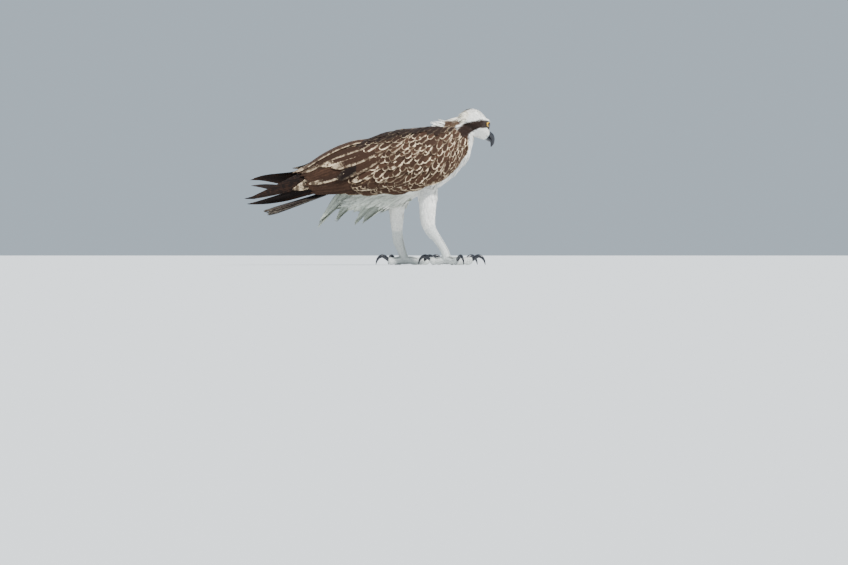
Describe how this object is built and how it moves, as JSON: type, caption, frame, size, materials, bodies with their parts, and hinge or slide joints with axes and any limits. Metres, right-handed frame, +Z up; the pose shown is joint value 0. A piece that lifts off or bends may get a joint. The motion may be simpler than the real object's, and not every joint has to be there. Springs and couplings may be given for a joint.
{
  "type": "osprey",
  "caption": "Osprey standing on both feet with folded wings, head bowed and turned, dark brown above and white below, a life-size model",
  "frame": {"origin": "centre of the bounding box in X and Y, on the floor plane under the feet", "axes": "+X from the tail to the breast along the bird; +Y to the bird's left, across it; +Z up"},
  "size_m": [0.5474, 0.2152, 0.3479],
  "materials": {
    "brown_feathers": "matte",
    "dark_feathers": "matte",
    "white_down": "matte",
    "scaly_skin": "satin",
    "horn": "gloss",
    "iris": "gloss"
  },
  "bodies": {
    "root": {"torso": "white_down", "neck": "white_down", "head": "white_down", "eye_r": "iris", "eye_l": "iris", "bill_upper": "horn", "bill_lower": "horn", "tail": "dark_feathers", "wing_r": "brown_feathers", "wing_l": "brown_feathers", "thigh_r": "white_down", "shank_r": "scaly_skin", "foot_r": "scaly_skin", "claw_r1": "horn", "claw_r2": "horn", "claw_r3": "horn", "claw_r4": "horn", "thigh_l": "white_down", "shank_l": "scaly_skin", "foot_l": "scaly_skin", "claw_l1": "horn", "claw_l2": "horn", "claw_l3": "horn", "claw_l4": "horn"}
  },
  "joints": []
}
